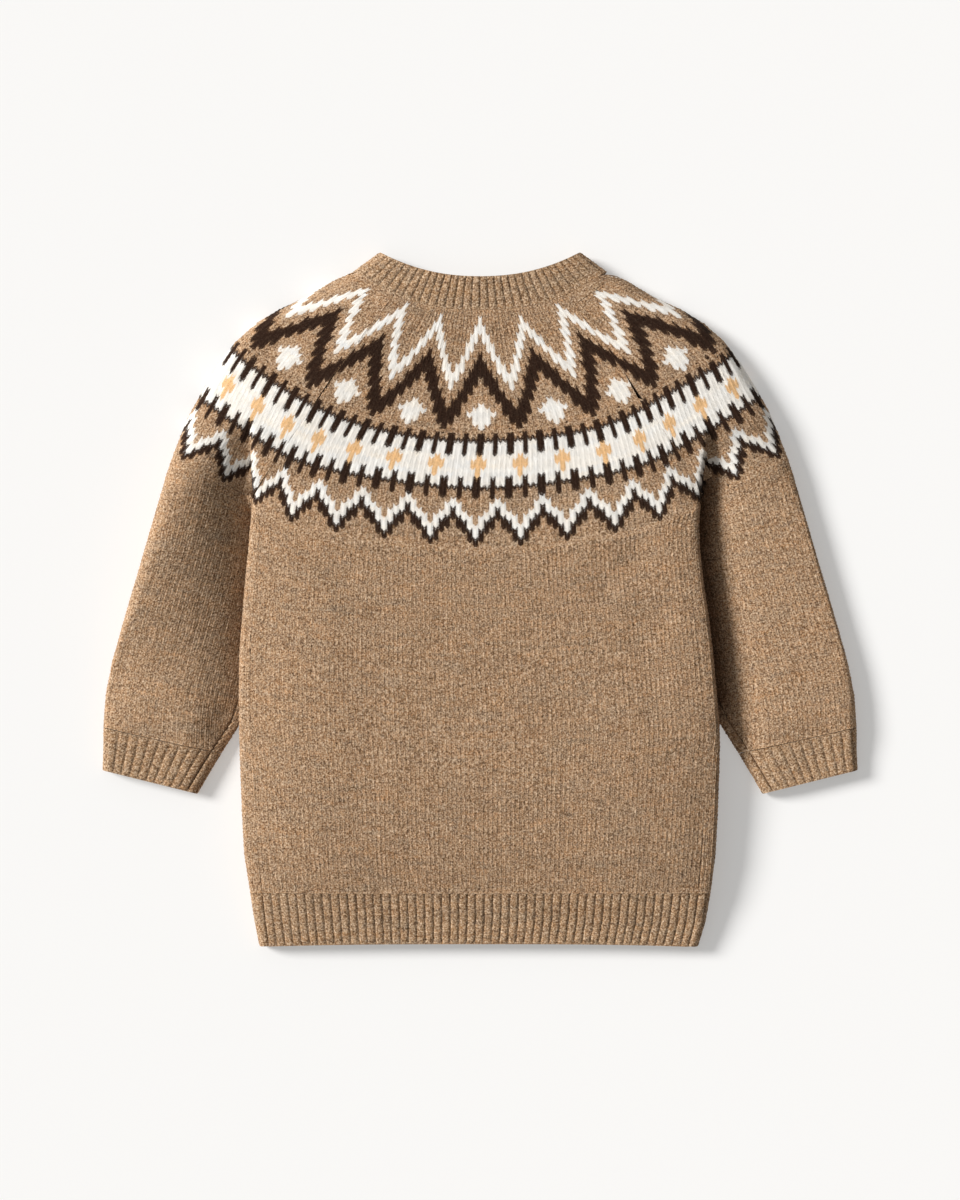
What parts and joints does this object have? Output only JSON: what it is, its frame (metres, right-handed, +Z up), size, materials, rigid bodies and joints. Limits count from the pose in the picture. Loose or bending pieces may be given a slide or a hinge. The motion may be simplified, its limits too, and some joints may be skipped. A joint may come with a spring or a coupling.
{
  "type": "fair isle jumper",
  "caption": "Knitted toddler's pullover with a round patterned yoke, raglan sleeves and ribbed neck, hem and cuffs, laid flat with its back uppermost.",
  "frame": {"origin": "middle of the jumper's outline, on the surface that it lies on", "axes": "+X towards the wearer's right sleeve, across the width; +Y from the hem to the neck; +Z up, out of the back"},
  "size_m": [0.4472, 0.4103, 0.0238],
  "materials": {
    "yoke_knit": "stocking stitch in a heathered oat-brown wool mix, matt and slightly fuzzy, with a yoke pattern in dark brown, off-white and light ochre",
    "rib_knit": "one-by-one rib in the same heathered oat-brown wool mix, matt and slightly fuzzy"
  },
  "bodies": {
    "root": {"body_back": "yoke_knit", "body_front": "yoke_knit", "sleeve_left": "yoke_knit", "sleeve_right": "yoke_knit", "neckband": "rib_knit", "hem_rib_back": "rib_knit", "hem_rib_front": "rib_knit", "cuff_left": "rib_knit", "cuff_right": "rib_knit"}
  },
  "joints": []
}
